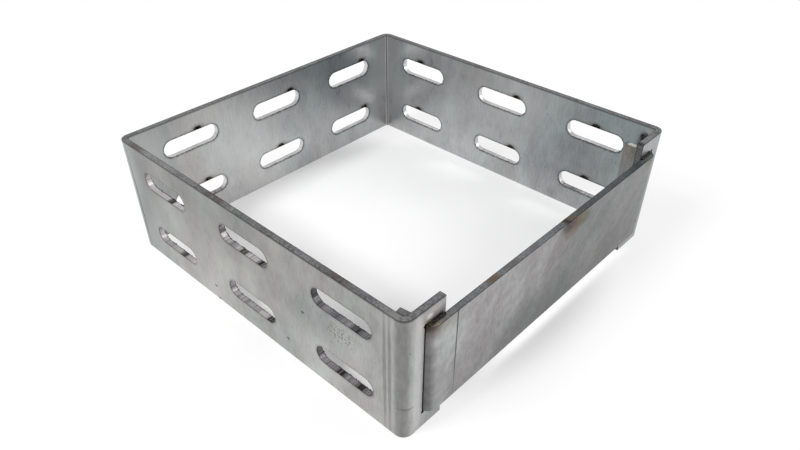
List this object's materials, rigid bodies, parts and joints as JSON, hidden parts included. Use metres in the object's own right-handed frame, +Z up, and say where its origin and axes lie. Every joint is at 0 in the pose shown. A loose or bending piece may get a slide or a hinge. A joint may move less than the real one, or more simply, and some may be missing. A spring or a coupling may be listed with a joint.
{
  "type": "sheet metal chassis",
  "caption": "Square ring frame folded from thick sheet, slotted on three walls and closed on the fourth by a lower plate whose bent ends pass through windows in the end flanges.",
  "frame": {"origin": "middle of the ring's underside, halfway between the outer faces of opposite walls", "axes": "+Z up, +X towards the closing plate, +Y along the closing plate"},
  "size_m": [0.183, 0.179, 0.06],
  "materials": {
    "frame_sheet": "bare rolled sheet",
    "plate_sheet": "bare rolled sheet",
    "weld_metal": "scorched weld"
  },
  "bodies": {
    "root": {"folded_frame": "frame_sheet", "closing_plate": "plate_sheet", "tack_welds": "weld_metal"}
  },
  "joints": []
}
